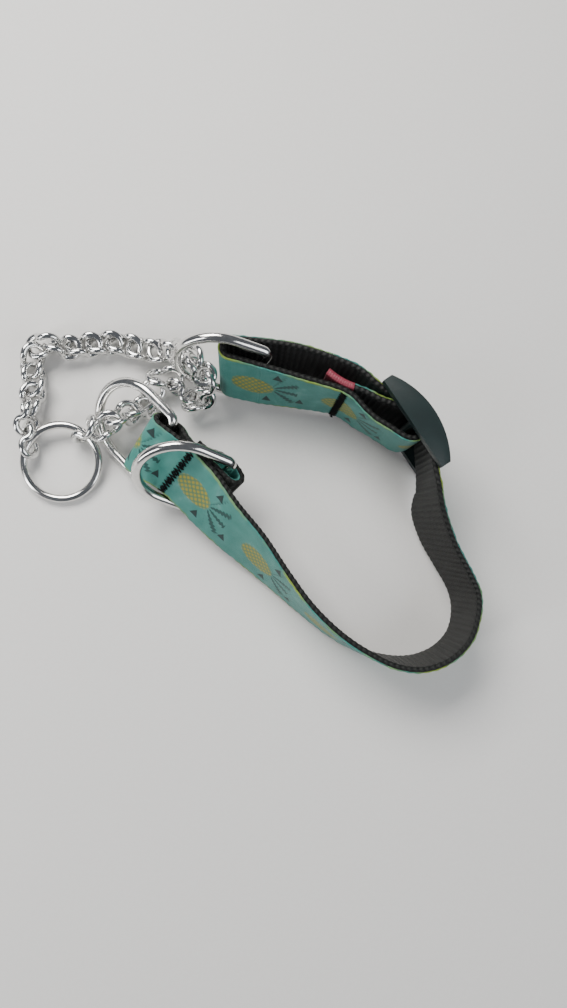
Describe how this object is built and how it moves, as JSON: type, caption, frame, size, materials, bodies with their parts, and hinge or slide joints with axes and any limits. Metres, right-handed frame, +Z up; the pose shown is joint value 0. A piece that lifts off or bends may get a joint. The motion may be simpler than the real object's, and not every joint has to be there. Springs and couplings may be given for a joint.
{
  "type": "martingale dog collar",
  "caption": "Limited-slip dog collar: ribbon-faced webbing loop with a sliding adjuster, closed by a curb chain loop with a leash ring.",
  "frame": {"origin": "on the ground, under the middle of the bounding box", "axes": "+X from the leash ring towards the far end of the strap's loop, +Z up, the strap standing on its edge"},
  "size_m": [0.1628, 0.1208, 0.0356],
  "materials": {
    "webbing": "ribbed black webbing",
    "ribbon": "woven patterned ribbon, slight sheen",
    "thread": "close zigzag stitches",
    "binding": "heat-sealed dark red end",
    "slider": "moulded, matte",
    "rings": "polished plate",
    "chain": "polished plate"
  },
  "bodies": {
    "collar": {"webbing_under_layer": "webbing", "ribbon_under_layer": "ribbon", "webbing_left_fold": "webbing", "ribbon_left_fold": "ribbon", "webbing_body_left": "webbing", "ribbon_body_left": "ribbon", "webbing_body_bend": "webbing", "ribbon_body_bend": "ribbon", "webbing_far_run": "webbing", "ribbon_far_run": "ribbon", "webbing_right_fold": "webbing", "ribbon_right_fold": "ribbon", "webbing_near_join": "webbing", "ribbon_near_join": "ribbon", "bar_tack_left": "thread"},
    "adjuster": {"slider": "slider", "webbing_slider_pass": "webbing", "ribbon_slider_pass": "ribbon", "webbing_near_run": "webbing", "ribbon_near_run": "ribbon", "webbing_bar_wrap": "webbing", "ribbon_bar_wrap": "ribbon", "webbing_tail": "webbing", "ribbon_tail": "ribbon", "bar_tack_right": "thread", "tail_binding": "binding"},
    "d_ring_left": {"d_ring_left": "rings"},
    "d_ring_tag": {"d_ring_tag": "rings"},
    "d_ring_right": {"d_ring_right": "rings"},
    "leash_ring": {"o_ring": "rings"},
    "link_01": {"chain_link_01": "chain"},
    "link_02": {"chain_link_02": "chain"},
    "link_03": {"chain_link_03": "chain"},
    "link_04": {"chain_link_04": "chain"},
    "link_05": {"chain_link_05": "chain"},
    "link_06": {"chain_link_06": "chain"},
    "link_07": {"chain_link_07": "chain"},
    "link_08": {"chain_link_08": "chain"},
    "link_09": {"chain_link_09": "chain"},
    "link_10": {"chain_link_10": "chain"},
    "link_11": {"chain_link_11": "chain"},
    "link_12": {"chain_link_12": "chain"},
    "link_13": {"chain_link_13": "chain"},
    "link_14": {"chain_link_14": "chain"},
    "link_15": {"chain_link_15": "chain"},
    "link_16": {"chain_link_16": "chain"},
    "link_17": {"chain_link_17": "chain"},
    "link_18": {"chain_link_18": "chain"},
    "link_19": {"chain_link_19": "chain"},
    "link_20": {"chain_link_20": "chain"},
    "link_21": {"chain_link_21": "chain"},
    "link_22": {"chain_link_22": "chain"},
    "link_23": {"chain_link_23": "chain"},
    "link_24": {"chain_link_24": "chain"}
  },
  "joints": [
    {"name": "d_ring_right_swing", "type": "hinge", "parent": "collar", "child": "d_ring_right", "pos_m": [0.00336, 0.04257, 0.01538], "axis": [0.39, 0.25, 0.8862], "range_deg": [-5, 0]},
    {"name": "d_ring_left_swing", "type": "hinge", "parent": "collar", "child": "d_ring_left", "pos_m": [-0.03012, 0.01598, 0.01294], "axis": [0.497, 0.5705, 0.6538], "range_deg": [-14, 0]},
    {"name": "d_ring_tag_swing", "type": "hinge", "parent": "collar", "child": "d_ring_tag", "pos_m": [-0.0108, 0.00286, 0.01216], "axis": [0.5467, 0.4626, 0.6979], "range_deg": [0, 70]},
    {"name": "link_15_swing", "type": "hinge", "parent": "d_ring_right", "child": "link_15", "pos_m": [-0.02087, 0.0466, 0.02008], "axis": [-0.631, 0.2605, 0.7308], "range_deg": [-5, 0]},
    {"name": "link_14_swing", "type": "hinge", "parent": "link_15", "child": "link_14", "pos_m": [-0.01591, 0.04528, 0.01501], "axis": [0, 0, 1], "range_deg": [-5, 0]},
    {"name": "link_13_swing", "type": "hinge", "parent": "link_14", "child": "link_13", "pos_m": [-0.02141, 0.05212, 0.01156], "axis": [-0.6722, -0.6008, 0.4327], "range_deg": [-5, 0]},
    {"name": "link_12_swing", "type": "hinge", "parent": "link_13", "child": "link_12", "pos_m": [-0.0271, 0.05509, 0.00702], "axis": [-0.3765, -0.7249, 0.5769], "range_deg": [-5, 0]},
    {"name": "link_11_swing", "type": "hinge", "parent": "link_12", "child": "link_11", "pos_m": [-0.03399, 0.05609, 0.00441], "axis": [-0.3765, -0.7249, 0.5769], "range_deg": [-5, 0]},
    {"name": "link_10_swing", "type": "hinge", "parent": "link_11", "child": "link_10", "pos_m": [-0.04239, 0.05299, 0.00429], "axis": [-0.3765, -0.7249, 0.5769], "range_deg": [-5, 0]},
    {"name": "link_09_swing", "type": "hinge", "parent": "link_10", "child": "link_09", "pos_m": [-0.04897, 0.05372, 0.00461], "axis": [-0.3765, -0.7249, 0.5769], "range_deg": [-5, 0]},
    {"name": "link_08_swing", "type": "hinge", "parent": "link_09", "child": "link_08", "pos_m": [-0.0567, 0.05752, 0.00321], "axis": [0, 0, 1], "range_deg": [-5, 0]},
    {"name": "link_07_swing", "type": "hinge", "parent": "link_08", "child": "link_07", "pos_m": [-0.06405, 0.05624, 0.00292], "axis": [0, 0, 1], "range_deg": [-5, 0]},
    {"name": "link_06_swing", "type": "hinge", "parent": "link_07", "child": "link_06", "pos_m": [-0.07073, 0.05485, 0.00536], "axis": [0.0224, -0.5287, 0.8485], "range_deg": [-5, 0]},
    {"name": "link_05_swing", "type": "hinge", "parent": "link_06", "child": "link_05", "pos_m": [-0.07129, 0.0526, 0.00402], "axis": [-0.631, 0.2605, 0.7308], "range_deg": [-5, 0]},
    {"name": "link_04_swing", "type": "hinge", "parent": "link_05", "child": "link_04", "pos_m": [-0.07351, 0.04818, 0.00277], "axis": [0, 0, 1], "range_deg": [-3, 0]},
    {"name": "link_03_swing", "type": "hinge", "parent": "link_04", "child": "link_03", "pos_m": [-0.07768, 0.03604, 0.00421], "axis": [0, 0, 1], "range_deg": [-5, 0]},
    {"name": "link_02_swing", "type": "hinge", "parent": "link_03", "child": "link_02", "pos_m": [-0.07749, 0.03272, 0.00243], "axis": [0, 0, 1], "range_deg": [-1.5, 0]},
    {"name": "link_01_swing", "type": "hinge", "parent": "link_02", "child": "link_01", "pos_m": [-0.07785, 0.02229, 0.00242], "axis": [0.9993, 0, 0.0385], "range_deg": [-5, 0.83]},
    {"name": "leash_ring_swing", "type": "hinge", "parent": "link_01", "child": "leash_ring", "pos_m": [-0.07431, 0.02189, 0.00603], "axis": [0.9993, 0, 0.0385], "range_deg": [-1.5, 0.95]},
    {"name": "link_24_swing", "type": "hinge", "parent": "leash_ring", "child": "link_24", "pos_m": [-0.0544, 0.02217, 0.00374], "axis": [0, 0, 1], "range_deg": [-1.5, 1.19]},
    {"name": "link_16_swing", "type": "hinge", "parent": "link_15", "child": "link_16", "pos_m": [-0.0107, 0.03868, 0.01718], "axis": [0.7107, 0.2595, 0.6539], "range_deg": [-5, 1.5]},
    {"name": "link_17_swing", "type": "hinge", "parent": "link_16", "child": "link_17", "pos_m": [-0.01217, 0.03365, 0.00877], "axis": [0.9993, 0, 0.0385], "range_deg": [-1, 5]},
    {"name": "link_18_swing", "type": "hinge", "parent": "link_17", "child": "link_18", "pos_m": [-0.01761, 0.03732, 0.00445], "axis": [0.9993, 0, 0.0385], "range_deg": [-5, 2]},
    {"name": "link_19_swing", "type": "hinge", "parent": "link_18", "child": "link_19", "pos_m": [-0.02625, 0.04017, 0.00641], "axis": [0, 0, 1], "range_deg": [-5, 1.5]},
    {"name": "link_22_swing", "type": "hinge", "parent": "collar", "child": "link_22", "pos_m": [-0.04882, 0.02942, 0.00734], "axis": [0.586, 0.7643, 0.2692], "range_deg": [-2.5, 5]},
    {"name": "link_21_swing", "type": "hinge", "parent": "link_22", "child": "link_21", "pos_m": [-0.03724, 0.02949, 0.00744], "axis": [-0.0189, 0.9992, 0.0352], "range_deg": [-2.5, 5]},
    {"name": "link_20_swing", "type": "hinge", "parent": "link_21", "child": "link_20", "pos_m": [-0.03808, 0.0327, 0.00401], "axis": [0.586, 0.7643, 0.2692], "range_deg": [-5, 3.5]},
    {"name": "link_23_swing", "type": "hinge", "parent": "link_22", "child": "link_23", "pos_m": [-0.04877, 0.02695, 0.01003], "axis": [0, 0, 1], "range_deg": [-5, 5]},
    {"name": "adjuster_slide", "type": "slide", "parent": "collar", "child": "adjuster", "axis": [0.5549, -0.8319, 0], "range_m": [0, 0.004]}
  ]
}
